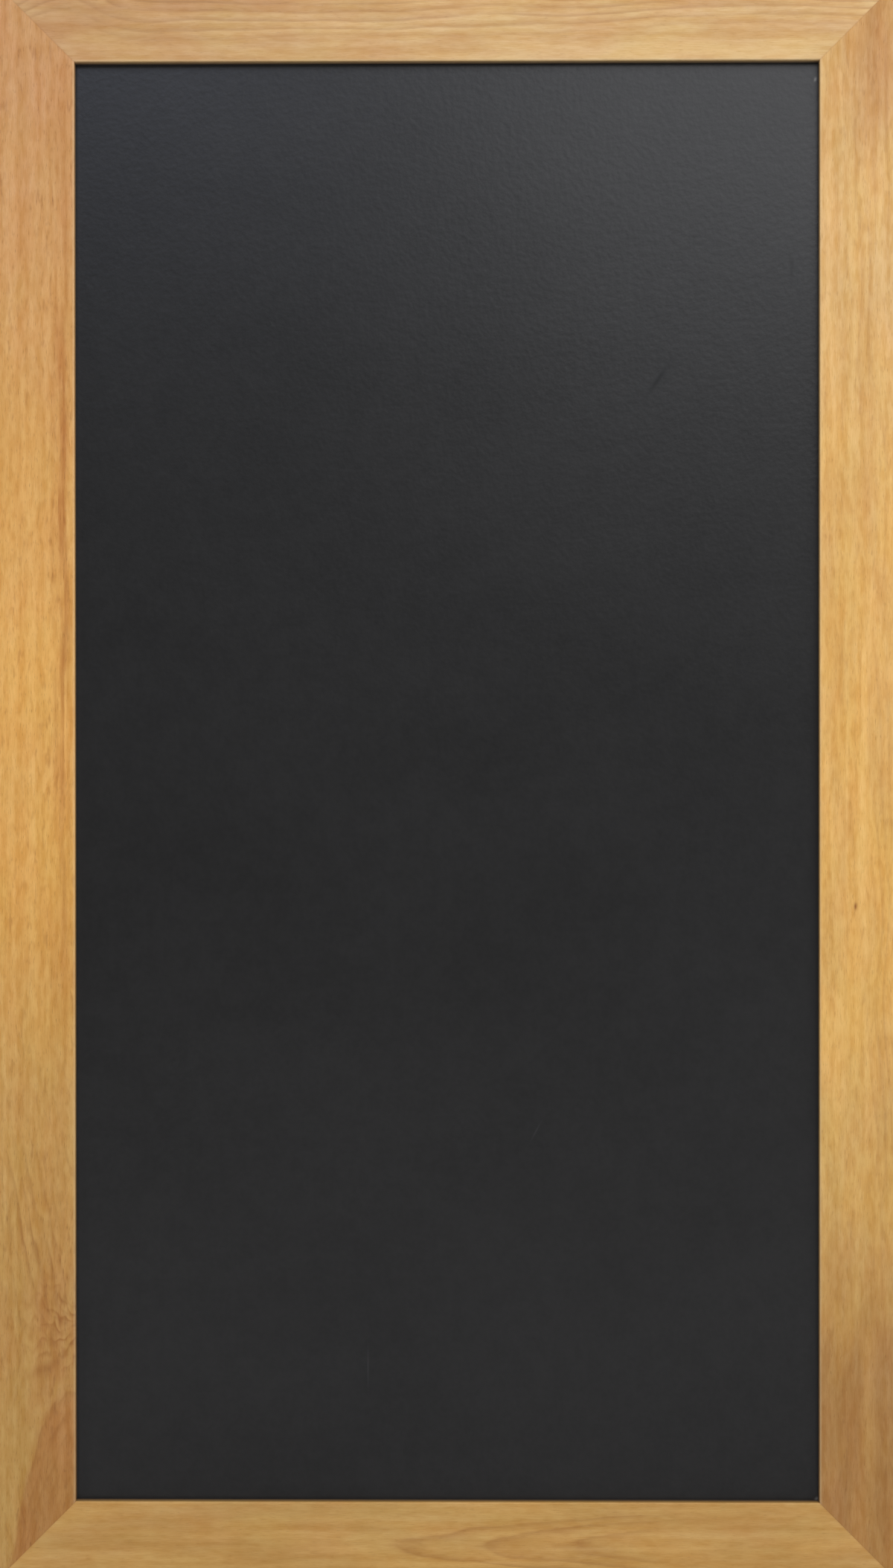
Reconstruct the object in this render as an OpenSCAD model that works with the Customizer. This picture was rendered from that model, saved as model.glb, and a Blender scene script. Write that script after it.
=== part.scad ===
// Wall chalkboard: a matt black panel in a mitred hardwood frame, hung by two D-rings.
// Millimetres. +Z is up, the writing side faces -Y and the wall is at +Y.
// Left and right are as seen from the writing side. The origin is the middle of the whole board.

/* [Board] */
// Overall width across the frame
board_w = 648; // [520:1:1200]
// Overall height of the frame
board_h = 1148; // [800:1:1800]

/* [Frame moulding] */
// Width of the moulding's front face
face_w = 57; // [45:0.5:90]
// Thickness of the lip in front of the panel
lip_t = 7.4; // [4:0.1:14]
// How far the rebate is cut under the lip
rebate_w = 11; // [6:0.5:16]
// Radius of the outer front arris
outer_arris_r = 3; // [1:0.1:5]
// Radius of the lip's front arris, beside the panel
lip_arris_r = 1.2; // [0.4:0.1:2.5]
// Radius of the outer back arris
back_arris_r = 1; // [0.4:0.1:3]

/* [Panel] */
// Thickness of the black writing sheet
surface_t = 0.8; // [0.5:0.1:2]
// Thickness of the fibreboard core
core_t = 9; // [6:0.5:16]
// Thickness of the balancing sheet on the back
backing_t = 0.8; // [0.5:0.1:2]
// Gap between the panel's edge and the rebate
panel_gap = 1; // [0.4:0.1:3]

/* [Corner wedges] */
// Sheet thickness of a wedge
wedge_t = 0.8; // [0.5:0.1:1.2]
// Spread of a wedge to each side of the mitre
wedge_spread = 4; // [2.5:0.1:6]
// Depth of a wedge, from the frame's back
wedge_depth = 10; // [6:0.5:12]
// Distance along the mitre from each end of it to its wedge
wedge_margin = 17; // [10:0.5:20]

/* [Turn buttons] */
// Width of the plate
button_w = 12; // [10:0.5:16]
// Radius of the plate's corners
button_end_r = 5.4; // [2:0.1:5.8]
// Distance from the pivot to the plate's tip
button_reach = 26; // [20:0.5:30]
// Thickness of the plate
button_t = 1.5; // [1:0.1:2]
// Distance from the rebate's edge out to the pivot
button_set = 9; // [7:0.5:11]
// Distance from a corner of the opening to the nearest pivot on a stile
stile_button_inset = 97; // [60:1:140]
// Distance from a corner of the opening to the nearest pivot on a rail
rail_button_inset = 117; // [60:1:150]
// Play between the plate and its screw, all round and under the head
button_play = 0.05; // [0.02:0.01:0.1]

/* [Screws] */
// Diameter of a turn button screw
button_screw_d = 3.5; // [2.5:0.1:4.5]
// Head diameter of a turn button screw
button_head_d = 7; // [6:0.1:8]
// Diameter of a hanger screw
hanger_screw_d = 3; // [2.5:0.1:4]
// Head diameter of a hanger screw
hanger_head_d = 6; // [5:0.1:7]
// Height of a pan head
head_h = 2.2; // [1.6:0.1:2.8]
// Rounding of a pan head's top edge
head_round = 1.3; // [0.6:0.1:1.5]
// Depth that a screw reaches below the frame's back
screw_depth = 11; // [8:0.5:12]
// Length of a screw's point
point_l = 3; // [2:0.1:5]
// Width of the cross recess's slots
recess_w = 0.8; // [0.5:0.1:1]
// Length of the cross recess's slots
recess_l = 3.6; // [2.5:0.1:4]
// Depth of the cross recess
recess_depth = 1.1; // [0.6:0.1:1.4]
// Room between a screw and the hole in the wood
pilot_room = 0.02; // [0.01:0.01:0.05]

/* [Hangers] */
// Distance from the upper turn button's pivot down to the ring's hinge
hanger_drop = 76; // [60:1:160]
// Width of the folded strap
strap_w = 14; // [12:0.5:18]
// Sheet thickness of the strap
strap_t = 0.8; // [0.6:0.1:1.2]
// Distance from the farther screw to the strap's end
strap_end = 7.5; // [5:0.5:12]
// Radius of the corners at the strap's end
strap_end_r = 5.5; // [2:0.1:6]
// Distance between the strap's screws
strap_screw_pitch = 11; // [8:0.5:16]
// Room round a screw in the strap
strap_hole_room = 0.2; // [0.1:0.05:0.4]
// Inside radius of the strap's bend behind the knuckle
neck_r = 2; // [1:0.1:3]
// Wire diameter of the ring
ring_wire_d = 3; // [2:0.1:3.4]
// Bend radius of the ring's corners, to the wire's centre
ring_corner_r = 3.5; // [2.5:0.1:4]
// Room round the ring's bar in the knuckle
knuckle_room = 0.08; // [0.02:0.01:0.1]
// Room between the strap's side and the ring's corner
ring_side_room = 0.5; // [0.3:0.1:1]
// Room between the hanging ring and the strap
ring_rest_room = 0.3; // [0.2:0.1:0.6]
// Room between the hanging ring and the nearer screw head
ring_head_room = 1.3; // [0.5:0.1:3]

/* [Wall bumpers] */
// Diameter of a bumper
bumper_d = 13; // [10:0.5:18]
// How far the bumpers reach past the rest of the hardware
bumper_room = 1.1; // [0.5:0.1:4]
// Radius of a bumper's edge
bumper_edge_r = 1.5; // [0.5:0.1:2.5]
// Distance from the level of the opening's corner to a bumper's centre
bumper_inset = 13; // [8:1:40]

/* [Hidden] */
$fn = 48;
// Overshoot of a cut past the face that it opens
cut = 1;

// The hardware's heights above the frame's back, and the bumpers that keep it off the wall
button_head_h = button_t + button_play + head_h;
strap_plate_t = 2 * strap_t;
strap_head_h = strap_plate_t + head_h;
hung_ring_h = strap_plate_t + ring_rest_room + ring_wire_d;
bumper_h = max(button_head_h, strap_head_h, hung_ring_h) + bumper_room;

// Depths along Y: the frame's face, the panel's layers and the frame's back
panel_t = surface_t + core_t + backing_t;
frame_t = lip_t + panel_t;
front_y = -(frame_t + bumper_h) / 2;
surface_y = front_y + lip_t;
core_y = surface_y + surface_t;
backing_y = core_y + core_t;
back_y = front_y + frame_t;

// Outlines in the XZ plane
opening_w = board_w - 2 * face_w;
opening_h = board_h - 2 * face_w;
back_w = face_w - rebate_w;
panel_w = opening_w + 2 * (rebate_w - panel_gap);
panel_h = opening_h + 2 * (rebate_w - panel_gap);
stile_mid_x = board_w / 2 - back_w / 2;
bumper_z = opening_h / 2 - bumper_inset;

// Wedges lie on the back's mitre line, measured from the outer corner
mitre_l = back_w * sqrt(2);
wedge_back = wedge_t * sqrt(2);
wedge_places = [wedge_margin, mitre_l - wedge_margin - wedge_spread - wedge_back];

// Turn buttons: name, pivot's x and z, and the turn that points the tip at the panel
pivot_x = opening_w / 2 + rebate_w + button_set;
pivot_z = opening_h / 2 + rebate_w + button_set;
stile_button_z = opening_h / 2 - stile_button_inset;
rail_button_x = opening_w / 2 - rail_button_inset;
buttons = [
    ["turn_button_left_upper", -pivot_x, stile_button_z, 0],
    ["turn_button_left_middle", -pivot_x, 0, 0],
    ["turn_button_left_lower", -pivot_x, -stile_button_z, 0],
    ["turn_button_right_upper", pivot_x, stile_button_z, 180],
    ["turn_button_right_middle", pivot_x, 0, 180],
    ["turn_button_right_lower", pivot_x, -stile_button_z, 180],
    ["turn_button_top_left", -rail_button_x, pivot_z, 90],
    ["turn_button_top_right", rail_button_x, pivot_z, 90],
    ["turn_button_bottom_left", -rail_button_x, -pivot_z, -90],
    ["turn_button_bottom_right", rail_button_x, -pivot_z, -90],
];
button_seat_y = back_y + button_t + button_play;

// Hangers: the strap's lower layer lies on the wood and its knuckle stands on the same face
knuckle_bore_r = ring_wire_d / 2 + knuckle_room;
knuckle_r = knuckle_bore_r + strap_t;
hinge_y = back_y + knuckle_r;
hinge_z = stile_button_z - hanger_drop;
neck_z = sqrt(pow(knuckle_r + neck_r, 2) - pow(strap_plate_t + neck_r - knuckle_r, 2));

// The ring's bar runs in the knuckle, and its bow is a half circle between the two corners
ring_bar_l = strap_w + 2 * ring_side_room;
ring_bow_r = ring_bar_l / 2 + ring_corner_r;
ring_reach = ring_corner_r + ring_bow_r;
// The hanging ring leans off the wood until its bow clears the strap
ring_lift = strap_plate_t + ring_rest_room + ring_wire_d / 2 - knuckle_r;
ring_lean = asin(ring_lift / ring_reach);

// The strap's screws lie past the hanging ring, measured down from the hinge
strap_screw_first = ring_reach + ring_wire_d / 2 + ring_head_room + hanger_head_d / 2;
strap_screws = [strap_screw_first, strap_screw_first + strap_screw_pitch];
strap_l = strap_screws[1] + strap_end;

// Places of the pieces that come in pairs and fours: name, side in X and side in Z
sides = [["left", -1], ["right", 1]];
corners = [
    ["top_left", -1, 1],
    ["top_right", 1, 1],
    ["bottom_left", -1, -1],
    ["bottom_right", 1, -1],
];

// The waste left outside a quarter circle, turned so that its square corner is on the arris
module arris_waste(r, turn) {
    rotate(turn) translate([-r, -r]) difference() {
        square(r + cut);
        circle(r);
    }
}

// Cross-section of the moulding: x runs out from the opening's edge, y runs back from the face
module moulding_section() {
    difference() {
        union() {
            square([face_w, lip_t]);
            translate([rebate_w, 0]) square([back_w, frame_t]);
        }
        arris_waste(lip_arris_r, 180);
        translate([face_w, 0]) arris_waste(outer_arris_r, -90);
        translate([face_w, frame_t]) arris_waste(back_arris_r, 0);
    }
}

// Turns a shape drawn in XY, with its height in Z, so that the height runs back along +Y
module stand_on_back(y) {
    translate([0, y, 0]) rotate([-90, 0, 0]) children();
}

// A length of moulding above the opening, cut to 45 degrees at both ends
module mitred_length(length, half_gap) {
    intersection() {
        translate([0, front_y, half_gap])
            rotate([0, -90, 0]) linear_extrude(length, center = true) moulding_section();
        translate([0, back_y + cut, 0]) rotate([90, 0, 0])
            linear_extrude(frame_t + 2 * cut) polygon([
                [-length / 2, half_gap + face_w],
                [length / 2, half_gap + face_w],
                [length / 2 - face_w, half_gap],
                [face_w - length / 2, half_gap],
            ]);
    }
}

// One V wedge across a mitre, in the top right corner, flush with the frame's back
module wedge(place) {
    translate([board_w / 2, back_y, board_h / 2]) rotate([90, 0, 0]) rotate(-135)
        translate([place, 0]) linear_extrude(wedge_depth) polygon([
            [0, 0],
            [wedge_spread, wedge_spread],
            [wedge_spread + wedge_back, wedge_spread],
            [wedge_back, 0],
            [wedge_spread + wedge_back, -wedge_spread],
            [wedge_spread, -wedge_spread],
        ]);
}

module wedge_pair(side_x, side_z) {
    mirror([side_x < 0 ? 1 : 0, 0, 0]) mirror([0, 0, side_z < 0 ? 1 : 0])
        for (place = wedge_places) wedge(place);
}

// Holes in the wood for every screw, and the slots that the wedges make
module frame_cuts() {
    for (c = corners) wedge_pair(c[1], c[2]);
    for (b = buttons)
        translate([b[1], 0, b[2]]) pilot_hole(button_screw_d);
    for (s = sides, drop = strap_screws)
        translate([s[1] * stile_mid_x, 0, hinge_z - drop]) pilot_hole(hanger_screw_d);
}

module pilot_hole(d) {
    stand_on_back(back_y - screw_depth)
        cylinder(d = d + 2 * pilot_room, h = screw_depth + cut);
}

module stile(turn) {
    color("#d2a05f") difference() {
        rotate([0, turn, 0]) mitred_length(board_h, opening_w / 2);
        frame_cuts();
    }
}

module rail(turn) {
    color("#d2a56a") difference() {
        rotate([0, turn, 0]) mitred_length(board_w, opening_h / 2);
        frame_cuts();
    }
}

// One layer of the panel, its front at the depth y
module panel_layer(y, thickness) {
    translate([-panel_w / 2, y, -panel_h / 2]) cube([panel_w, thickness, panel_h]);
}

module writing_surface() {
    color("#2e2e30") panel_layer(surface_y, surface_t);
}

module panel_core() {
    color("#9c7a55") panel_layer(core_y, core_t);
}

module backing_sheet() {
    color("#8a6a48") panel_layer(backing_y, backing_t);
}

module corner_wedges(side_x, side_z) {
    color("#8f9296") wedge_pair(side_x, side_z);
}

// A turn button's oblong plate: the pivot is at 0,0 and the tip lies along +X
module button_plate() {
    tip_x = button_reach;
    heel_x = -button_w / 2;
    linear_extrude(button_t) difference() {
        translate([heel_x, -button_w / 2]) square([tip_x - heel_x, button_w]);
        for (flip = [0, 1])
            mirror([0, flip]) {
                translate([tip_x, button_w / 2]) arris_waste(button_end_r, 0);
                translate([heel_x, button_w / 2]) arris_waste(button_end_r, 90);
            }
    }
}

module turn_button(b) {
    color("#b9bcc0") translate([b[1], 0, b[2]]) stand_on_back(back_y) rotate(b[3])
        difference() {
            button_plate();
            translate([0, 0, -cut])
                cylinder(d = button_screw_d + 2 * button_play, h = button_t + 2 * cut);
        }
}

// A pan-head wood screw along +Z, its head seated at 0 and its point down
module pan_screw(d, head_d, length) {
    difference() {
        rotate_extrude() difference() {
            union() {
                square([head_d / 2, head_h]);
                translate([0, point_l - length]) square([d / 2, length - point_l]);
                polygon([[0, -length], [0, point_l - length], [d / 2, point_l - length]]);
            }
            translate([head_d / 2, head_h]) arris_waste(head_round, 0);
        }
        for (turn = [0, 90])
            rotate(turn) translate([-recess_l / 2, -recess_w / 2, head_h - recess_depth])
                cube([recess_l, recess_w, recess_depth + cut]);
    }
}

module turn_button_screws() {
    color("#c9b06a")
        for (b = buttons)
            translate([b[1], 0, b[2]]) stand_on_back(button_seat_y)
                pan_screw(button_screw_d, button_head_d, screw_depth + button_seat_y - back_y);
}

// The folded strap on its side: x runs down from the hinge, y runs back from the wood
module folded_strip() {
    difference() {
        union() {
            translate([0, knuckle_r, 0]) cylinder(r = knuckle_r, h = strap_w, center = true);
            translate([0, 0, -strap_w / 2]) cube([strap_l, strap_plate_t, strap_w]);
            linear_extrude(strap_w, center = true) difference() {
                polygon([[0, 0], [0, knuckle_r], [neck_z, strap_plate_t + neck_r], [neck_z, 0]]);
                translate([neck_z, strap_plate_t + neck_r]) circle(neck_r);
            }
        }
        translate([0, knuckle_r, 0])
            cylinder(r = knuckle_bore_r, h = strap_w + 2 * cut, center = true);
    }
}

module hanger_strap(side) {
    color("#b4b7bb") translate([side * stile_mid_x, back_y, hinge_z]) difference() {
        rotate([0, 90, 0]) folded_strip();
        translate([0, -cut, -strap_l]) rotate([-90, 0, 0])
            linear_extrude(strap_plate_t + 2 * cut)
                for (flip = [0, 1])
                    mirror([flip, 0]) translate([strap_w / 2, 0]) arris_waste(strap_end_r, 0);
        for (drop = strap_screws)
            translate([0, 0, -drop]) stand_on_back(-cut)
                cylinder(d = hanger_screw_d + 2 * strap_hole_room, h = strap_plate_t + 2 * cut);
    }
}

// An arc of the ring's wire about the origin, from +X round towards +Y
module wire_arc(bend_r, angle) {
    rotate_extrude(angle = angle) translate([bend_r, 0]) circle(d = ring_wire_d);
}

// The ring lies in XY with its bar along X through the origin and its bow towards +Y
module d_ring() {
    rotate([0, 90, 0]) cylinder(d = ring_wire_d, h = ring_bar_l, center = true);
    for (flip = [0, 1])
        mirror([flip, 0, 0])
            translate([ring_bar_l / 2, ring_corner_r, 0]) rotate(-90) wire_arc(ring_corner_r, 90);
    translate([0, ring_corner_r, 0]) wire_arc(ring_bow_r, 180);
}

module hanger_ring(side) {
    color("#c2c5c9") translate([side * stile_mid_x, hinge_y, hinge_z])
        rotate([-90 + ring_lean, 0, 0]) d_ring();
}

module hanger_screws() {
    color("#c9b06a")
        for (s = sides, drop = strap_screws)
            translate([s[1] * stile_mid_x, 0, hinge_z - drop]) stand_on_back(back_y + strap_plate_t)
                pan_screw(hanger_screw_d, hanger_head_d, screw_depth + strap_plate_t);
}

module wall_bumper(side_x, side_z) {
    color("#3a3a3c")
        translate([side_x * stile_mid_x, 0, side_z * bumper_z])
            stand_on_back(back_y) rotate_extrude() difference() {
                square([bumper_d / 2, bumper_h]);
                translate([bumper_d / 2, bumper_h]) arris_waste(bumper_edge_r, 0);
            }
}

stile(-90);  // left_stile
stile(90);  // right_stile
rail(0);  // top_rail
rail(180);  // bottom_rail
writing_surface();
panel_core();
backing_sheet();
for (c = corners)
    corner_wedges(c[1], c[2]);
for (b = buttons)
    turn_button(b);
turn_button_screws();
for (s = sides)
    hanger_strap(s[1]);
for (s = sides)
    hanger_ring(s[1]);
hanger_screws();
for (c = corners)
    wall_bumper(c[1], c[2]);
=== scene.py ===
import math

import bpy
from mathutils import Matrix, Vector

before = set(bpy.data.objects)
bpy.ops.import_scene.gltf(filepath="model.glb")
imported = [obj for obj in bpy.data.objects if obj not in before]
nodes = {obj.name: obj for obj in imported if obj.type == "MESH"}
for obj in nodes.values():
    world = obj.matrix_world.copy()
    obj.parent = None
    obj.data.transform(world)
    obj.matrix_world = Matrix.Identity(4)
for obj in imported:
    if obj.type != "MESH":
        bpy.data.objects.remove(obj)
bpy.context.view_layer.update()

# FRAME: four lengths of one moulding of pale tropical hardwood, planed, eased along the edges, mitred and
# glued, and sprayed with a clear satin lacquer. Each length was cut from another plank and has a figure of
# its own.
mm = 0.001
sight_width, sight_height, face_y = 534 * mm, 1034 * mm, -12 * mm
times, plus, minus = [{"operation": name} for name in ("MULTIPLY", "ADD", "SUBTRACT")]
times_plus, smaller = [{"operation": name} for name in ("MULTIPLY_ADD", "MINIMUM")]
eased = {"interpolation_type": "SMOOTHSTEP"}
blend, stain = {"data_type": "RGBA"}, {"data_type": "RGBA", "blend_type": "MULTIPLY"}


def linear(code):
    """An sRGB hex colour as the linear RGBA that the shader sockets take."""
    parts = [int(code[i : i + 2], 16) / 255 for i in (1, 3, 5)]
    return [c / 12.92 if c <= 0.04045 else ((c + 0.055) / 1.055) ** 2.4 for c in parts] + [1.0]


def add(tree, kind, settings=(), links=()):
    """A new node with its properties (stops for a ramp) and its inputs.

    An input is a value, the output of another node, or a node, which stands for its first output.
    """
    node = tree.nodes.new("ShaderNode" + kind)
    for name, value in dict(settings).items():
        if name == "stops":
            ramp = node.color_ramp.elements
            while len(ramp) < len(value):
                ramp.new(1.0)
            for element, (position, grey) in zip(ramp, value):
                element.position, element.color = position, (grey, grey, grey, 1.0)
        else:
            setattr(node, name, value)
    for socket, value in dict(links).items():
        if isinstance(value, bpy.types.Node):
            value = next(output for output in value.outputs if output.enabled)
        if isinstance(value, bpy.types.NodeSocket):
            tree.links.new(value, node.inputs[socket])
        else:
            node.inputs[socket].default_value = value
    return node


def new_material(name):
    """An empty material, its node tree and the place on the object that its patterns start from."""
    material = bpy.data.materials.new(name)
    material.use_nodes = True
    tree = material.node_tree
    tree.nodes.clear()
    return material, tree, add(tree, "TexCoord").outputs["Object"]


def plank(name, corner, run):
    """Starts a plank's material at a corner of the sight edge, with the grain running from there.

    A place on the plank has X along the grain, Y from the sight edge outwards and Z from the face inwards.
    """
    material, tree, place = new_material(name)
    run, inwards = Vector(run), Vector((0, 1, 0))
    grain_axes = Matrix((run, inwards.cross(run), inwards)).transposed()
    start = (corner[0] * sight_width / 2, face_y, corner[1] * sight_height / 2)
    laid = {"Vector": place, "Location": start, "Rotation": grain_axes.to_euler()}
    grain = add(tree, "Mapping", {"vector_type": "TEXTURE"}, laid)
    split = add(tree, "SeparateXYZ", {}, {0: grain})
    return material, tree, grain, split.outputs["X"], split.outputs["Y"], split.outputs["Z"]


def markings(tree, place, length, width, seed, low=0.35, high=0.65, least=0.0, most=1.0):
    """Cloudy marks about that long and that wide, drawn out so that their strength runs from least to most."""
    stretch = {0: place, 1: (1 / length, 1 / width, 1 / width), 2: (seed, seed, seed)}
    stretched = add(tree, "VectorMath", times_plus, stretch)
    noise = add(tree, "TexNoise", {}, {"Vector": stretched, "Scale": 1.0, "Detail": 2.0, "Roughness": 0.5})
    strength = {"Value": noise, "From Min": low, "From Max": high, "To Min": least, "To Max": most}
    return add(tree, "MapRange", eased, strength)


def swell(tree, value, middle, reach):
    """A bell: 1 where the value is at its middle, fading out over its reach."""
    offset = add(tree, "Math", times_plus, {0: value, 1: 1 / reach, 2: -middle / reach})
    square = add(tree, "Math", times, {0: offset, 1: offset})
    return add(tree, "Math", {"operation": "POWER"}, {0: math.exp(-1), 1: square})


def lacquered(piece, timber, length, colour, mottle, pores, arris_highlight, seed):
    """Finishes a plank with its fibre, pores, edges and lacquer, and puts it on its piece of the frame.

    The mottle of the fibre, its pores and the painted highlight on the arris at its sight edge are strengths
    from 0 to 1.
    """
    material, tree, grain, along, across, depth = timber
    # the fibre wavers by a millimetre as it goes
    waver = markings(tree, grain, 120 * mm, 30 * mm, seed + 1, 0.2, 0.8, -1.2 * mm, 1.2 * mm)
    aside = add(tree, "CombineXYZ", {}, {"Y": waver})
    fibre = add(tree, "VectorMath", plus, {0: grain, 1: aside})
    # long bundles of fibre browner than the rest, short flecks in them, and the single fibres, drawn at three
    # times their width so that they show from close by
    bundles = markings(tree, fibre, 250 * mm, 7 * mm, seed + 2, 0.35, 0.65, 0.0, 0.3)
    flecks = markings(tree, fibre, 14 * mm, 4 * mm, seed + 3, 0.35, 0.65, 0.0, mottle)
    hairs = markings(tree, fibre, 12 * mm, 0.5 * mm, seed + 8, 0.35, 0.65, 0.0, 0.22)
    brown = add(tree, "Math", plus, {0: bundles, 1: flecks})
    brown = add(tree, "Math", plus, {0: brown, 1: hairs})
    colour = add(tree, "Mix", stain, {"Factor": brown, "A": colour, "B": linear("#e0c88c")})
    # broad clouds of a pinker and of a yellower wood
    pinker = markings(tree, grain, 50 * mm, 16 * mm, seed + 4, most=0.5)
    colour = add(tree, "Mix", stain, {"Factor": pinker, "A": colour, "B": linear("#fff4ea")})
    yellower = markings(tree, grain, 80 * mm, 30 * mm, seed + 5, most=0.5)
    colour = add(tree, "Mix", stain, {"Factor": yellower, "A": colour, "B": linear("#fbfce6")})
    # rows of open pores that stain the wood about them, lying in drifts, and the pores themselves, which the
    # plane has cut open into slits 0.2 mm wide
    dashes = markings(tree, fibre, 13 * mm, 3 * mm, seed + 6, 0.5, 0.75)
    drifts = markings(tree, grain, 80 * mm, 12 * mm, seed + 7, 0.35, 0.65, 0.0, pores)
    rows = add(tree, "Math", times, {0: dashes, 1: drifts})
    colour = add(tree, "Mix", stain, {"Factor": rows, "A": colour, "B": linear("#b8945a")})
    slits = markings(tree, fibre, 6 * mm, 0.4 * mm, seed + 9, 0.6, 0.72, 0.0, 0.2 + 0.75 * pores)
    colour = add(tree, "Mix", stain, {"Factor": slits, "A": colour, "B": linear("#9c7844")})
    # the eased arris at the sight edge gets a painted highlight, a pale tan line, and the wall of the lip
    # behind it is painted with shade, darker the deeper it goes
    rubbed_or_highlit = swell(tree, across, 0.5 * mm, 0.9 * mm)
    rubbed_or_highlit = add(tree, "Math", times, {0: rubbed_or_highlit, 1: arris_highlight})
    colour = add(tree, "Mix", blend, {"Factor": rubbed_or_highlit, "A": colour, "B": linear("#d8c49c")})
    # painted shade: the lip's inner wall is blended towards a dark brown-grey, more strongly deeper in
    shade_by_depth = add(tree, "MapRange", {}, {"Value": depth, "From Min": 0.5 * mm, "From Max": 6 * mm, "To Max": 0.9})
    wall = add(tree, "MapRange", {}, {"Value": across, "From Min": 0.8 * mm, "From Max": 0.2 * mm})
    painted_wall_shade = add(tree, "Math", times, {0: shade_by_depth, 1: wall})
    colour = add(tree, "Mix", blend, {"Factor": painted_wall_shade, "A": colour, "B": linear("#423428")})
    # the glue line: each mitre runs at 45 degrees from a corner of the sight edge
    from_start = add(tree, "Math", plus, {0: along, 1: across})
    to_end = add(tree, "Math", minus, {0: length, 1: along})
    from_end = add(tree, "Math", plus, {0: to_end, 1: across})
    to_mitre = add(tree, "Math", smaller, {0: from_start, 1: from_end})
    glue = add(tree, "MapRange", {}, {"Value": to_mitre, "From Max": 1.2 * mm, "To Min": 0.2, "To Max": 0.0})
    colour = add(tree, "Mix", stain, {"Factor": glue, "A": colour, "B": linear("#b98a58")})
    # lacquer levels the fibre but sinks into the pores, and lies a little duller over the browner flecks
    open_pores = add(tree, "Math", plus, {0: rows, 1: slits})
    height = add(tree, "Math", minus, {0: flecks, 1: open_pores})
    relief = add(tree, "Bump", {}, {"Strength": 0.2, "Distance": 0.1 * mm, "Height": height})
    satin = add(tree, "MapRange", {}, {"Value": flecks, "From Max": mottle, "To Min": 0.5, "To Max": 0.58})
    finish = {"Base Color": colour, "Roughness": satin, "Specular IOR Level": 0.4, "Normal": relief}
    add(tree, "OutputMaterial", {}, {"Surface": add(tree, "BsdfPrincipled", {}, finish)})
    nodes[piece].material_slots[0].material = material


# LEFT STILE: the long member on the left. Its plank has straight grain with a brown streak beside the sight
# edge, which a knot near the foot turns aside; an arch of redder heartwood lies below the knot.
left = plank("left_stile_lacquered_hardwood", (-1, 1), (0, 0, -1))
_, tree, grain, along, across, _ = left


def growth_lines(tree, place, spacing, first=0.0):
    """The dark late wood of each year's growth: a soft line, crisper on one side than on the other."""
    years = add(tree, "Math", times_plus, {0: place, 1: 1 / spacing, 2: -first / spacing})
    year = add(tree, "Math", {"operation": "FRACT"}, {0: years})
    profile = [(0.0, 1.0), (0.12, 0.8), (0.3, 0.35), (0.55, 0.08), (0.8, 0.0), (0.92, 0.4), (1.0, 1.0)]
    return add(tree, "ValToRGB", {"stops": profile}, {0: year})


# golden about the middle, browner towards the foot and pinker at the head
ripe_down = [(0.0, 0.5), (0.22, 0.3), (0.42, 0.1), (0.58, 0.2), (0.72, 0.75), (0.86, 0.92), (1.0, 1.0)]
down = add(tree, "Math", times, {0: along, 1: 1 / sight_height})
ripe = add(tree, "ValToRGB", {"stops": ripe_down}, {0: down})
colour = add(tree, "Mix", blend, {"Factor": ripe, "A": linear("#f2be6e"), "B": linear("#c8a263")})
clouds = markings(tree, grain, 100 * mm, 20 * mm, 11, 0.3, 0.7, 0.0, 0.2)
colour = add(tree, "Mix", stain, {"Factor": clouds, "A": colour, "B": linear("#deca8c")})
head = swell(tree, along, -50 * mm, 300 * mm)
head = add(tree, "Math", times, {0: head, 1: 0.65})
colour = add(tree, "Mix", blend, {"Factor": head, "A": colour, "B": linear("#c4926f")})
# below the knot the growth lines are parabolas that open downwards from the sight edge, the shape that a cut
# along the side of a cone of growth gives; the heartwood lies inside one of them
heart_tip, heart_curve = 946 * mm, 57.0
flicker = markings(tree, grain, 40 * mm, 12 * mm, 14, 0.2, 0.8, -7 * mm, 7 * mm)
spread = add(tree, "Math", times, {0: across, 1: across})
arch = add(tree, "Math", times_plus, {0: spread, 1: -heart_curve, 2: along})
arch = add(tree, "Math", plus, {0: arch, 1: flicker})
heart_edge = {"Value": arch, "From Min": heart_tip - 10 * mm, "From Max": heart_tip + 16 * mm}
heart = add(tree, "MapRange", eased, heart_edge)
# above the knot the lines lean towards it, and round it they close in
knot_at, lean = 885 * mm, 0.2
larger = {"operation": "MAXIMUM"}
past_knot = add(tree, "Math", minus, {0: along, 1: knot_at})
above = add(tree, "Math", smaller, {0: past_knot, 1: 0.0})
below = add(tree, "Math", larger, {0: past_knot, 1: 0.0})
leaning = add(tree, "Math", times_plus, {0: above, 1: lean, 2: across})
closing = add(tree, "CombineXYZ", {}, {"X": below, "Y": leaning})
from_knot = add(tree, "VectorMath", {"operation": "LENGTH"}, {0: closing})
feathers = markings(tree, grain, 60 * mm, 14 * mm, 15, 0.2, 0.8, -3 * mm, 3 * mm)
feathered = add(tree, "Math", plus, {0: from_knot, 1: feathers})
knot_lines = growth_lines(tree, feathered, 7.2 * mm)
broken = markings(tree, grain, 30 * mm, 6 * mm, 16, 0.3, 0.65, 0.1, 0.6)
in_length = swell(tree, along, 850 * mm, 70 * mm)
in_width = swell(tree, from_knot, 22 * mm, 22 * mm)
near_knot = add(tree, "Math", times, {0: in_length, 1: in_width})
near_knot = add(tree, "Math", times, {0: near_knot, 1: broken})
knot_lines = add(tree, "Math", times, {0: knot_lines, 1: near_knot})
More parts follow.
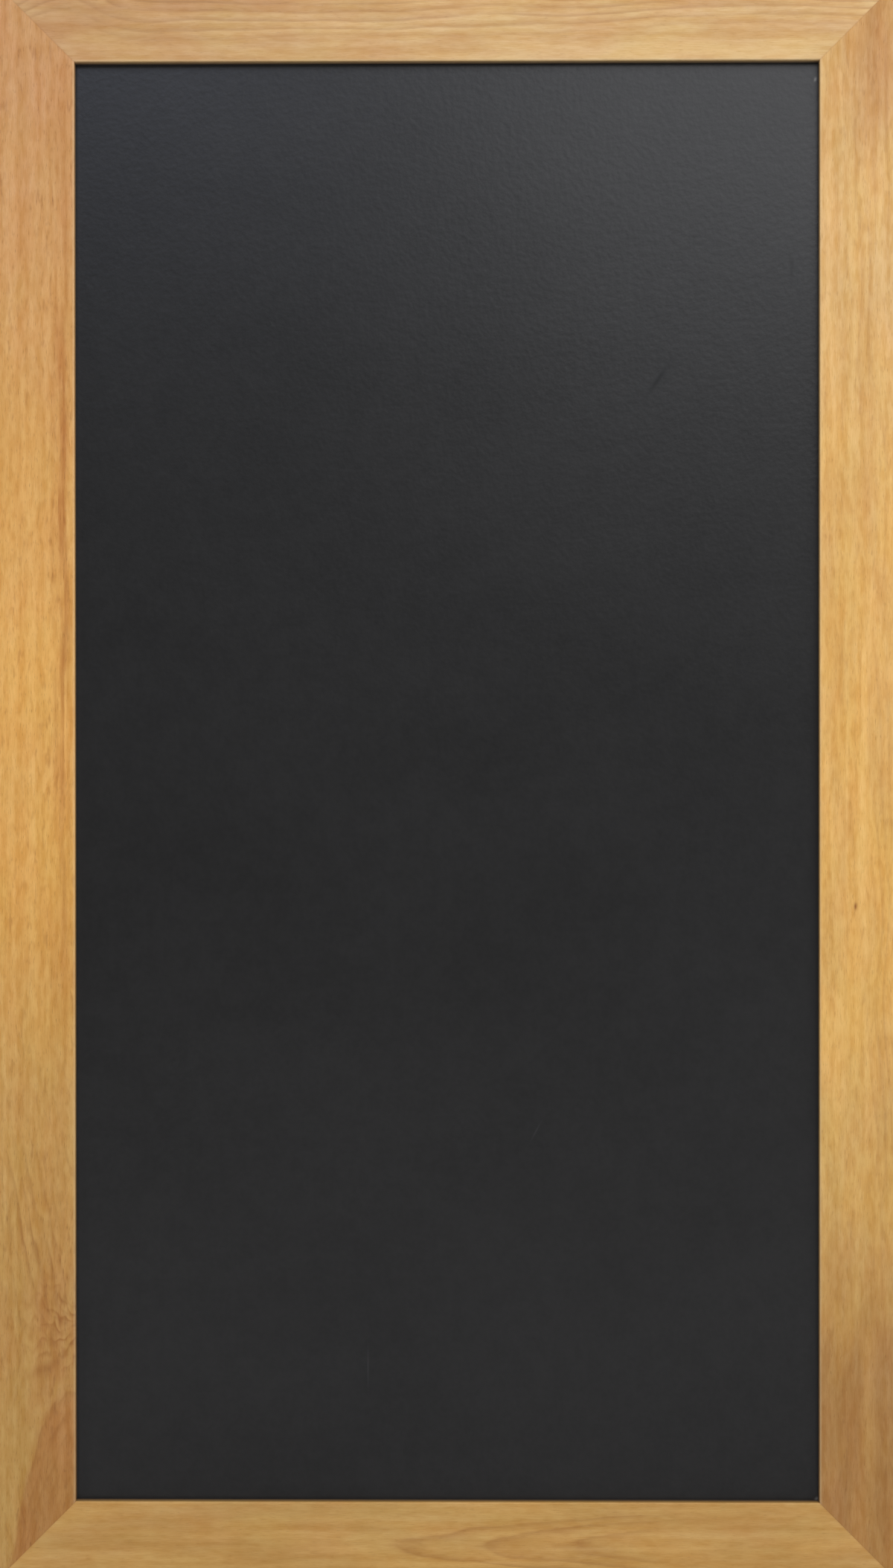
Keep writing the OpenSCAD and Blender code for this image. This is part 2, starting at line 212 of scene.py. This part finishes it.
# the lines of the heartwood, strongest near its tip
heart_spacing, heart_first = 18 * mm, heart_tip + 7 * mm
in_heart = add(tree, "Math", times, {0: heart, 1: swell(tree, arch, heart_tip, 60 * mm)})
in_heart = add(tree, "Math", times, {0: in_heart, 1: broken})
heart_lines = growth_lines(tree, arch, heart_spacing, heart_first)
heart_lines = add(tree, "Math", times, {0: heart_lines, 1: in_heart})
lines = add(tree, "Math", larger, {0: knot_lines, 1: heart_lines})
# the knot has stained the wood beside it
ragged = markings(tree, grain, 30 * mm, 9 * mm, 17, 0.3, 0.65, 0.2, 0.85)
in_length = swell(tree, along, 912 * mm, 75 * mm)
in_width = swell(tree, across, 5 * mm, 42 * mm)
knot_stain = add(tree, "Math", times, {0: in_length, 1: in_width})
knot_stain = add(tree, "Math", times, {0: knot_stain, 1: ragged})
red_wood = add(tree, "Math", larger, {0: heart, 1: knot_stain})
colour = add(tree, "Mix", stain, {"Factor": red_wood, "A": colour, "B": linear("#efdcd6")})
colour = add(tree, "Mix", blend, {"Factor": lines, "A": colour, "B": linear("#9c682e")})
# beside the knot the grain is cut on end and drinks the lacquer, in a feathered fan of brown strokes that
# spread from the sight edge, with one more stroke below it that slants outwards
fan_at, fan_behind, fan_step = 906 * mm, 9 * mm, 0.4
past_fan = add(tree, "Math", minus, {0: along, 1: fan_at})
aside = add(tree, "Math", plus, {0: across, 1: fan_behind})
bearing = add(tree, "Math", {"operation": "ARCTAN2"}, {0: past_fan, 1: aside})
bent = markings(tree, grain, 34 * mm, 18 * mm, 18, 0.2, 0.8, -0.4, 0.4)
bearing = add(tree, "Math", plus, {0: bearing, 1: bent})
from_fan = add(tree, "CombineXYZ", {}, {"X": past_fan, "Y": aside})
from_fan = add(tree, "VectorMath", {"operation": "LENGTH"}, {0: from_fan})
in_fan = swell(tree, from_fan, 20 * mm, 21 * mm)
fan = add(tree, "Math", times, {0: growth_lines(tree, bearing, fan_step), 1: in_fan})
tufts = markings(tree, grain, 10 * mm, 10 * mm, 19, 0.3, 0.6, 0.1, 0.9)
fan = add(tree, "Math", times, {0: fan, 1: tufts})
slant = 0.42
slanting = add(tree, "Math", times_plus, {0: across, 1: -slant, 2: along})
in_length = swell(tree, across, 22 * mm, 12 * mm)
in_width = swell(tree, slanting, 929 * mm, 4.5 * mm)
stroke = add(tree, "Math", times, {0: in_width, 1: in_length})
stroke = add(tree, "Math", times, {0: stroke, 1: 0.6})
fan = add(tree, "Math", larger, {0: fan, 1: stroke})
colour = add(tree, "Mix", stain, {"Factor": fan, "A": colour, "B": linear("#d8bc98")})
# the streak beside the sight edge, in long broken dashes
dashes = markings(tree, grain, 90 * mm, 5 * mm, 13, 0.35, 0.65, 0.15, 0.9)
in_length = swell(tree, along, 320 * mm, 300 * mm)
in_width = swell(tree, across, 9 * mm, 6 * mm)
streak = add(tree, "Math", times, {0: in_width, 1: in_length})
streak = add(tree, "Math", times, {0: streak, 1: dashes})
colour = add(tree, "Mix", blend, {"Factor": streak, "A": colour, "B": linear("#b87832")})
lacquered("left_stile", left, sight_height, colour, 0.3, 0.4, 0.22, 10)

# RIGHT STILE: the long member on the right. Its plank is straight and pale, lined only towards its outer
# edge, with a brown foot and one open pore above the middle.
right = plank("right_stile_lacquered_hardwood", (1, -1), (0, 0, 1))
_, tree, grain, along, across, _ = right
# brown at the foot, pale gold for most of the way, paler still at the shoulder and duller at the head
ripe_up = [(0.0, 1.0), (0.1, 0.92), (0.2, 0.37), (0.34, 0.06)]
ripe_up += [(0.55, 0.12), (0.75, 0.2), (0.92, 0.35), (1.0, 0.6)]
up = add(tree, "Math", times, {0: along, 1: 1 / sight_height})
ripe = add(tree, "ValToRGB", {"stops": ripe_up}, {0: up})
clouds = markings(tree, grain, 100 * mm, 20 * mm, 21, 0.3, 0.7, -0.16, 0.16)
ripe = add(tree, "Math", {"operation": "ADD", "use_clamp": True}, {0: ripe, 1: clouds})
colour = add(tree, "Mix", blend, {"Factor": ripe, "A": linear("#e8bb6f"), "B": linear("#ae834e")})
shoulder = swell(tree, along, 900 * mm, 160 * mm)
shoulder = add(tree, "Math", times, {0: shoulder, 1: 0.5})
colour = add(tree, "Mix", blend, {"Factor": shoulder, "A": colour, "B": linear("#ddbc88")})
ankle = swell(tree, along, 230 * mm, 110 * mm)
ankle = add(tree, "Math", times, {0: ankle, 1: 0.4})
colour = add(tree, "Mix", blend, {"Factor": ankle, "A": colour, "B": linear("#d6b472")})
# the outer corner of the head is browner
outside = add(tree, "MapRange", eased, {"Value": across, "From Min": 8 * mm, "From Max": 36 * mm})
at_head = add(tree, "MapRange", eased, {"Value": along, "From Min": 940 * mm, "From Max": 1040 * mm})
corner = add(tree, "Math", times, {0: outside, 1: at_head})
colour = add(tree, "Mix", stain, {"Factor": corner, "A": colour, "B": linear("#ebe0da")})
# growth lines about 6 mm apart that drift outwards by 3 mm in every 100 on their way down
waver = markings(tree, grain, 200 * mm, 50 * mm, 22, 0.2, 0.8, -8 * mm, 8 * mm)
drift = 0.03
drifting = add(tree, "Math", times_plus, {0: along, 1: drift, 2: across})
drifting = add(tree, "Math", plus, {0: drifting, 1: waver})
lines = growth_lines(tree, drifting, 6.5 * mm)
outer = {"Value": across, "From Min": 10 * mm, "From Max": 40 * mm, "To Min": 0.05, "To Max": 0.3}
lines = add(tree, "Math", times, {0: lines, 1: add(tree, "MapRange", eased, outer)})
lines = add(tree, "Math", times, {0: lines, 1: markings(tree, grain, 120 * mm, 20 * mm, 23)})
colour = add(tree, "Mix", blend, {"Factor": lines, "A": colour, "B": linear("#b07c42")})
in_length = swell(tree, along, 428 * mm, 2.6 * mm)
in_width = swell(tree, across, 25.6 * mm, 1 * mm)
pore = add(tree, "Math", times, {0: in_length, 1: in_width})
colour = add(tree, "Mix", stain, {"Factor": pore, "A": colour, "B": linear("#a88250")})
lacquered("right_stile", right, sight_height, colour, 0.28, 0.25, 0.26, 20)

# TOP RAIL: the short member at the head. Its plank has wavy growth lines over the outer half, which swing up
# near the left end, and plain wood next to the sight edge.
top = plank("top_rail_lacquered_hardwood", (1, 1), (-1, 0, 0))
_, tree, grain, along, across, _ = top
clouds = markings(tree, grain, 90 * mm, 18 * mm, 31, 0.3, 0.7, 0.0, 0.4)
to_left = add(tree, "MapRange", {}, {"Value": along, "From Min": 300 * mm, "From Max": 560 * mm, "To Max": 0.4})
ripe = add(tree, "Math", {"operation": "ADD", "use_clamp": True}, {0: clouds, 1: to_left})
colour = add(tree, "Mix", blend, {"Factor": ripe, "A": linear("#d5b47f"), "B": linear("#b7865c")})
# the lines sink by 2 mm in every 100 on their way left, and then swing up by 20 mm
sink, swing_up = 0.022, 20 * mm
swing = swell(tree, along, 546 * mm, 42 * mm)
waving = add(tree, "Math", times_plus, {0: swing, 1: -swing_up, 2: across})
waving = add(tree, "Math", times_plus, {0: along, 1: sink, 2: waving})
waver = markings(tree, grain, 130 * mm, 40 * mm, 32, 0.2, 0.8, -4 * mm, 4 * mm)
waving = add(tree, "Math", plus, {0: waving, 1: waver})
lines = growth_lines(tree, waving, 6.2 * mm)
outer = {"Value": waving, "From Min": 14 * mm, "From Max": 38 * mm, "To Min": 0.02, "To Max": 0.5}
lines = add(tree, "Math", times, {0: lines, 1: add(tree, "MapRange", eased, outer)})
lines = add(tree, "Math", times, {0: lines, 1: markings(tree, grain, 100 * mm, 8 * mm, 33, 0.3, 0.6, 0.3, 1.0)})
colour = add(tree, "Mix", blend, {"Factor": lines, "A": colour, "B": linear("#a4764a")})
lacquered("top_rail", top, sight_width, colour, 0.18, 0.1, 0.3, 30)

# BOTTOM RAIL: the short member at the foot. Its plank was cut across the heart, so that the growth lines close
# into three arches, one inside the other, that open to the right and then fade into plain wood.
bottom = plank("bottom_rail_lacquered_hardwood", (-1, -1), (1, 0, 0))
_, tree, grain, along, across, _ = bottom
clouds = markings(tree, grain, 90 * mm, 18 * mm, 41, 0.3, 0.7, 0.15, 0.6)
colour = add(tree, "Mix", blend, {"Factor": clouds, "A": linear("#d7ae6c"), "B": linear("#bc9458")})
pale_heart = swell(tree, along, 290 * mm, 60 * mm)
pale_heart = add(tree, "Math", times, {0: pale_heart, 1: 0.45})
colour = add(tree, "Mix", blend, {"Factor": pale_heart, "A": colour, "B": linear("#dab470")})
first_arch, arch_spacing, arch_axis, arch_curve = 228 * mm, 65 * mm, 31 * mm, 400.0
from_axis = add(tree, "Math", minus, {0: across, 1: arch_axis})
spread = add(tree, "Math", times, {0: from_axis, 1: from_axis})
arching = add(tree, "Math", times_plus, {0: spread, 1: -arch_curve, 2: along})
waver = markings(tree, grain, 50 * mm, 20 * mm, 42, 0.2, 0.8, -20 * mm, 20 * mm)
arching = add(tree, "Math", plus, {0: arching, 1: waver})
begin = {"Value": arching, "From Min": 190 * mm, "From Max": 225 * mm}
end = {"Value": arching, "From Min": 370 * mm, "From Max": 430 * mm, "To Min": 0.5, "To Max": 0.1}
fade = {"Value": along, "From Min": 460 * mm, "From Max": 360 * mm}
lines = growth_lines(tree, arching, arch_spacing, first_arch)
for stretch in (begin, end, fade):
    lines = add(tree, "Math", times, {0: lines, 1: add(tree, "MapRange", eased, stretch)})
lines = add(tree, "Math", times, {0: lines, 1: markings(tree, grain, 60 * mm, 8 * mm, 43, 0.3, 0.6, 0.35, 1.0)})
colour = add(tree, "Mix", blend, {"Factor": lines, "A": colour, "B": linear("#a67239")})
lacquered("bottom_rail", bottom, sight_width, colour, 0.18, 0.1, 0.0, 40)

# CORNER WEDGES: V-shaped nails of hardened strip steel, two to a corner, which the framer's press drives flush
# into the back across each mitre while the glue is wet.
material, tree, place = new_material("quenched_strip_steel")
# oil-quenched strip is a dark blue-grey, cloudy with scale and rubbed brighter where the press bore on it
scale = markings(tree, place, 4 * mm, 4 * mm, 81, 0.3, 0.7)
colour = add(tree, "Mix", blend, {"Factor": scale, "A": linear("#8b8f95"), "B": linear("#696c72")})
rubbed_or_highlit = add(tree, "MapRange", {}, {"Value": scale, "To Min": 0.34, "To Max": 0.52})
relief = add(tree, "Bump", {}, {"Strength": 0.15, "Distance": 0.1 * mm, "Height": scale})
finish = {"Base Color": colour, "Metallic": 1.0, "Roughness": rubbed_or_highlit, "Normal": relief}
add(tree, "OutputMaterial", {}, {"Surface": add(tree, "BsdfPrincipled", {}, finish)})
for corner in ("top_left", "top_right", "bottom_left", "bottom_right"):
    nodes["corner_wedges_" + corner].material_slots[0].material = material

# WRITING SURFACE: a sheet of high-pressure laminate 0.8 mm thick, pressed with a matt pebbled black face and
# bonded to the core. It is held behind the lip, and is painted lighter close under the lip against the lip's
# shade.
material, tree, place = new_material("pebbled_black_laminate")


def scratch(tree, place, centre, length, width, lean):
    """A mark on the sheet of that length and width, leaning that many degrees from level."""
    start = (centre[0], 0, centre[1])
    laid = {"Vector": place, "Location": start, "Rotation": (0, -math.radians(lean), 0)}
    run = add(tree, "SeparateXYZ", {}, {0: add(tree, "Mapping", {"vector_type": "TEXTURE"}, laid)})
    in_length = swell(tree, run.outputs["X"], 0.0, length / 2)
    return add(tree, "Math", times, {0: in_length, 1: swell(tree, run.outputs["Z"], 0.0, width / 2)})


# years of wiping leave a thin uneven haze of chalk on the black, with smudges and specks in it
haze = markings(tree, place, 160 * mm, 90 * mm, 51, 0.3, 0.7, 0.0, 0.34)
smudges = markings(tree, place, 12 * mm, 12 * mm, 54, 0.3, 0.7, 0.0, 0.33)
specks = markings(tree, place, 4 * mm, 4 * mm, 55, 0.3, 0.7, 0.0, 0.33)
haze = add(tree, "Math", plus, {0: haze, 1: smudges})
haze = add(tree, "Math", plus, {0: haze, 1: specks})
colour = add(tree, "Mix", blend, {"Factor": haze, "A": linear("#121212"), "B": linear("#1c1c1c")})
# painted light: the sheet is painted a paler grey within 5 mm of the lip, to lift the shade that the lip casts
# on it
from_middle = add(tree, "VectorMath", {"operation": "ABSOLUTE"}, {0: place})
half_opening = (sight_width / 2, 0, sight_height / 2)
from_edges = add(tree, "VectorMath", minus, {0: half_opening, 1: from_middle})
from_edges = add(tree, "SeparateXYZ", {}, {0: from_edges})
from_lip = add(tree, "Math", smaller, {0: from_edges.outputs["X"], 1: from_edges.outputs["Z"]})
painted_lip_light = {"Value": from_lip, "From Max": 5 * mm, "To Min": 0.35, "To Max": 0.0}
painted_lip_light = add(tree, "MapRange", eased, painted_lip_light)
colour = add(tree, "Mix", blend, {"Factor": painted_lip_light, "A": colour, "B": linear("#2c2c2d")})
# two pale grazes, and specks of chalk left in the corners on the right
graze = scratch(tree, place, (-57 * mm, -421.7 * mm), 26 * mm, 1.1 * mm, 90)
short_graze = scratch(tree, place, (64 * mm, -251.4 * mm), 13 * mm, 1.1 * mm, 62)
graze = add(tree, "Math", larger, {0: graze, 1: short_graze})
graze = add(tree, "Math", times, {0: graze, 1: 0.2})
colour = add(tree, "Mix", blend, {"Factor": graze, "A": colour, "B": linear("#4a4a4c")})
upper_speck = scratch(tree, place, (264.9 * mm, 505 * mm), 3 * mm, 1.8 * mm, 75)
lower_speck = scratch(tree, place, (266 * mm, -516 * mm), 3.4 * mm, 2.2 * mm, 45)
speck = add(tree, "Math", larger, {0: upper_speck, 1: lower_speck})
speck = add(tree, "Math", times, {0: speck, 1: 0.3})
colour = add(tree, "Mix", blend, {"Factor": speck, "A": colour, "B": linear("#b9b7b0")})
# two gouges, which are too rough to shine
gouge = scratch(tree, place, (151.6 * mm, 289.1 * mm), 31 * mm, 4.2 * mm, 55)
gouge = add(tree, "Math", times, {0: gouge, 1: 0.53})
faint_gouge = scratch(tree, place, (247.8 * mm, 366.3 * mm), 21 * mm, 2.6 * mm, 90)
faint_gouge = add(tree, "Math", times, {0: faint_gouge, 1: 0.18})
gouge = add(tree, "Math", larger, {0: gouge, 1: faint_gouge})
colour = add(tree, "Mix", stain, {"Factor": gouge, "A": colour, "B": linear("#707070")})
# the face was pressed from a fine pebbled plate, which leaves a soft sheen; the pebble of 1 mm is drawn at four
# times its size so that it shows
sheen = markings(tree, place, 300 * mm, 120 * mm, 53, 0.25, 0.75, 0.325, 0.35)
sheen = add(tree, "Mix", {"data_type": "FLOAT"}, {"Factor": gouge, "A": sheen, "B": 0.9})
pebble = markings(tree, place, 4 * mm, 4 * mm, 52, 0.2, 0.8)
relief = add(tree, "Bump", {}, {"Strength": 0.24, "Distance": 0.2 * mm, "Height": pebble})
finish = {"Base Color": colour, "Roughness": sheen, "Specular IOR Level": 0.35, "Normal": relief}
add(tree, "OutputMaterial", {}, {"Surface": add(tree, "BsdfPrincipled", {}, finish)})
nodes["writing_surface"].material_slots[0].material = material

# PANEL CORE: a sheet of 9 mm medium-density fibreboard, sawn to size, that carries the laminate. Only its
# edges can be seen, in the gap round the panel.
material, tree, place = new_material("sawn_fibreboard")
# felted fibre that the saw has torn a little, a shade darker in the looser middle of the thickness
felt = markings(tree, place, 4 * mm, 1.2 * mm, 61, 0.3, 0.7)
colour = add(tree, "Mix", blend, {"Factor": felt, "A": linear("#a88355"), "B": linear("#8d6a40")})
cloudy = markings(tree, place, 50 * mm, 50 * mm, 62, 0.3, 0.7, 0.0, 0.5)
colour = add(tree, "Mix", blend, {"Factor": cloudy, "A": colour, "B": linear("#98754a")})
loose = swell(tree, add(tree, "SeparateXYZ", {}, {0: place}).outputs["Y"], 0.7 * mm, 3 * mm)
loose = add(tree, "Math", times, {0: loose, 1: 0.5})
colour = add(tree, "Mix", stain, {"Factor": loose, "A": colour, "B": linear("#d0bfa6")})
relief = add(tree, "Bump", {}, {"Strength": 0.4, "Distance": 0.2 * mm, "Height": felt})
finish = {"Base Color": colour, "Roughness": 0.88, "Normal": relief}
add(tree, "OutputMaterial", {}, {"Surface": add(tree, "BsdfPrincipled", {}, finish)})
nodes["panel_core"].material_slots[0].material = material

# BACKING SHEET: brown phenolic balance sheet, bonded to the back of the core so that the panel can't bow, and
# sanded to thickness at the works.
material, tree, place = new_material("sanded_phenolic_sheet")
# a dry brown, faintly mottled, with fine sanding lines down the sheet, drawn three times as wide as the real
# ones so that they show
upright = {"Vector": place, "Rotation": (0, -math.pi / 2, 0)}
upright = add(tree, "Mapping", {"vector_type": "TEXTURE"}, upright)
sanding = markings(tree, upright, 300 * mm, 2.2 * mm, 71, 0.3, 0.7)
mottling = markings(tree, place, 60 * mm, 60 * mm, 72, 0.2, 0.8)
resin = markings(tree, place, 12 * mm, 12 * mm, 73, 0.4, 0.7, 0.0, 0.12)
colour = add(tree, "Mix", blend, {"Factor": mottling, "A": linear("#7a5b3e"), "B": linear("#75573b")})
lined = add(tree, "Math", times, {0: sanding, 1: 0.22})
colour = add(tree, "Mix", stain, {"Factor": lined, "A": colour, "B": linear("#d8c8b2")})
colour = add(tree, "Mix", stain, {"Factor": resin, "A": colour, "B": linear("#c9ad8e")})
rubbed_or_highlit = add(tree, "MapRange", {}, {"Value": sanding, "To Min": 0.52, "To Max": 0.68})
relief = add(tree, "Bump", {}, {"Strength": 0.25, "Distance": 0.1 * mm, "Height": sanding})
finish = {"Base Color": colour, "Roughness": rubbed_or_highlit, "Normal": relief}
add(tree, "OutputMaterial", {}, {"Surface": add(tree, "BsdfPrincipled", {}, finish)})
nodes["backing_sheet"].material_slots[0].material = material

# TURN BUTTONS: oblong blanks punched from 1.5 mm steel, barrelled and zinc plated. Each turns on its screw to
# let the panel into the rebate and then holds it there.
material, tree, place = new_material("bright_zinc_plate")
# bright zinc is bluish and a little cloudy, with the short scratches of the barrel all over it
clouding = markings(tree, place, 6 * mm, 6 * mm, 91, 0.3, 0.7)
scuffs = markings(tree, place, 3.5 * mm, 0.7 * mm, 92)
colour = add(tree, "Mix", blend, {"Factor": clouding, "A": linear("#c9cdd1"), "B": linear("#aeb3b9")})
faint_scuffs = add(tree, "Math", times, {0: scuffs, 1: 0.3})
colour = add(tree, "Mix", stain, {"Factor": faint_scuffs, "A": colour, "B": linear("#c4c6c8")})
wear = add(tree, "Math", plus, {0: clouding, 1: scuffs})
brightness = add(tree, "MapRange", {}, {"Value": wear, "From Max": 2.0, "To Min": 0.26, "To Max": 0.46})
relief = add(tree, "Bump", {}, {"Strength": 0.15, "Distance": 0.05 * mm, "Height": scuffs})
finish = {"Base Color": colour, "Metallic": 1.0, "Roughness": brightness, "Normal": relief}
add(tree, "OutputMaterial", {}, {"Surface": add(tree, "BsdfPrincipled", {}, finish)})
zinc_plate = material
for side in ("left", "right"):
    for button in (side + "_upper", side + "_middle", side + "_lower", "top_" + side, "bottom_" + side):
        nodes["turn_button_" + button].material_slots[0].material = zinc_plate

# HANGER STRAPS: strips of 0.8 mm steel folded back over the ring's straight side into a knuckle, plated like
# the turn buttons, and screwed to the stiles.
for side in ("left", "right"):
    nodes["hanger_strap_" + side].material_slots[0].material = zinc_plate

# HANGER RINGS: D rings bent from 3 mm drawn steel wire, which swing in the straps' knuckles and go over the
# wall hooks.
material, tree, place = new_material("nickel_plated_wire")
# nickel is brighter and warmer than zinc, with fine die lines and worn spots where it has rubbed
die_lines = markings(tree, place, 8 * mm, 0.6 * mm, 111)
worn = markings(tree, place, 5 * mm, 5 * mm, 112, 0.4, 0.7)
colour = add(tree, "Mix", blend, {"Factor": worn, "A": linear("#d3d2ce"), "B": linear("#bab8b2")})
wear = add(tree, "Math", plus, {0: worn, 1: die_lines})
brightness = add(tree, "MapRange", {}, {"Value": wear, "From Max": 2.0, "To Min": 0.14, "To Max": 0.34})
finish = {"Base Color": colour, "Metallic": 1.0, "Roughness": brightness}
add(tree, "OutputMaterial", {}, {"Surface": add(tree, "BsdfPrincipled", {}, finish)})
for side in ("left", "right"):
    nodes["hanger_ring_" + side].material_slots[0].material = material

# SCREWS: pan-head wood screws with a cross recess, one through each turn button and two through each strap,
# of zinc-plated steel with a yellow passivation.
material, tree, place = new_material("yellow_passivated_zinc")
# the passivation is brassy, with drifts of green and rose, and duller where the plating is thin
drift = markings(tree, place, 3 * mm, 3 * mm, 101, 0.3, 0.7)
colour = add(tree, "Mix", blend, {"Factor": drift, "A": linear("#d8b469"), "B": linear("#b9a257")})
rose = markings(tree, place, 4 * mm, 4 * mm, 102, 0.45, 0.75, 0.0, 0.5)
colour = add(tree, "Mix", blend, {"Factor": rose, "A": colour, "B": linear("#c98f6a")})
dulled = add(tree, "MapRange", {}, {"Value": drift, "To Min": 0.28, "To Max": 0.44})
finish = {"Base Color": colour, "Metallic": 1.0, "Roughness": dulled}
add(tree, "OutputMaterial", {}, {"Surface": add(tree, "BsdfPrincipled", {}, finish)})
for screws in ("turn_button_screws", "hanger_screws"):
    nodes[screws].material_slots[0].material = material

# WALL BUMPERS: pads of moulded rubber stuck to the back near the corners, which keep the board level with its
# hardware off the wall.
material, tree, place = new_material("moulded_rubber")
# black rubber blooms grey with age, and its fine moulded grit holds dust
grit = markings(tree, place, 0.7 * mm, 0.7 * mm, 121, 0.3, 0.7)
bloom = markings(tree, place, 5 * mm, 5 * mm, 122, 0.35, 0.7)
colour = add(tree, "Mix", blend, {"Factor": bloom, "A": linear("#2a2a2b"), "B": linear("#3d3c3b")})
dusty = add(tree, "MapRange", {}, {"Value": bloom, "To Min": 0.6, "To Max": 0.82})
relief = add(tree, "Bump", {}, {"Strength": 0.3, "Distance": 0.1 * mm, "Height": grit})
finish = {"Base Color": colour, "Roughness": dusty, "Normal": relief}
add(tree, "OutputMaterial", {}, {"Surface": add(tree, "BsdfPrincipled", {}, finish)})
for corner in ("top_left", "top_right", "bottom_left", "bottom_right"):
    nodes["wall_bumper_" + corner].material_slots[0].material = material

# FLOOR: a plain pale floor, painted matt, under the board's lower edge. It is a round sheet so wide that its
# rim lies far off in every view.
floor_mesh = bpy.data.meshes.new("floor")
floor_radius, floor_z, rim_points = 60.0, -574 * mm, 96
turns = [2 * math.pi * i / rim_points for i in range(rim_points)]
rim = [(floor_radius * math.cos(turn), floor_radius * math.sin(turn), floor_z) for turn in turns]
floor_mesh.from_pydata(rim, [], [range(rim_points)])
floor = bpy.data.objects.new("floor", floor_mesh)
bpy.context.scene.collection.objects.link(floor)
material, tree, _ = new_material("pale_matt_floor")
finish = {"Base Color": linear("#e6e4e0"), "Roughness": 0.8}
add(tree, "OutputMaterial", {}, {"Surface": add(tree, "BsdfPrincipled", {}, finish)})
floor_mesh.materials.append(material)

# LIGHT: an even pale surround, a broad soft key high on the right, a tall cool light high on the left, a weak
# fill on the right, and a soft light behind for the back of the board.
world = bpy.data.worlds.new("studio")
world.use_nodes = True
bpy.context.scene.world = world
tree = world.node_tree
tree.nodes.clear()
# where it is seen, or mirrored, the surround has the tone of the far floor, so that no horizon shows
ray = add(tree, "LightPath").outputs
seen = add(tree, "Math", larger, {0: ray["Is Camera Ray"], 1: ray["Is Glossy Ray"]})
seen = add(tree, "Math", larger, {0: seen, 1: ray["Is Transmission Ray"]})
colour = add(tree, "Mix", blend, {"Factor": seen, "A": linear("#f4f4f6"), "B": linear("#dcdad8")})
surround = add(tree, "Background", {}, {"Color": colour, "Strength": 0.5})
add(tree, "OutputWorld", {}, {"Surface": surround})


def soft_light(name, width, height, watts, colour, location, target):
    """A soft box of that size in metres, turned to its target."""
    light = bpy.data.lights.new(name, "AREA")
    light.shape, light.size, light.size_y, light.energy = "RECTANGLE", width, height, watts
    light.color = linear(colour)[:3]
    box = bpy.data.objects.new(name, light)
    box.location = location
    box.rotation_euler = (Vector(target) - Vector(location)).to_track_quat("-Z", "Y").to_euler()
    bpy.context.scene.collection.objects.link(box)


soft_light("key", 1.8, 1.6, 31.5, "#f8f9fe", (0.78, -1.7, 1.46), (0, 0, 0.1))
soft_light("left", 0.6, 1.2, 9, "#d8e2ff", (-0.55, -1.7, 1.6), (0, 0, 0.3))
soft_light("fill", 0.9, 0.9, 4.5, "#ffffff", (1.45, -1.6, 0.3), (0, 0, -0.3))
soft_light("back", 1.8, 1.2, 18, "#ffffff", (-1.0, 2.0, 1.3), (0, 0, 0))

# CAMERA: at the photograph's place, almost square on and a little to the right of the middle, with the frame's
# outer edges just outside the picture.
camera = bpy.data.cameras.new("camera")
image_height, focal_pixels = 2108, 3280.4
camera.lens = camera.sensor_width * focal_pixels / image_height
viewpoint = bpy.data.objects.new("camera", camera)
viewpoint.location = (14.5 * mm, -1762 * mm, 5.1 * mm)
level, dip, roll, turn = 90, 0.205, 0.0285, 0.481
viewpoint.rotation_euler = [math.radians(angle) for angle in (level - dip, roll, turn)]
bpy.context.scene.collection.objects.link(viewpoint)
bpy.context.scene.camera = viewpoint
bpy.context.scene.view_settings.view_transform = "Standard"
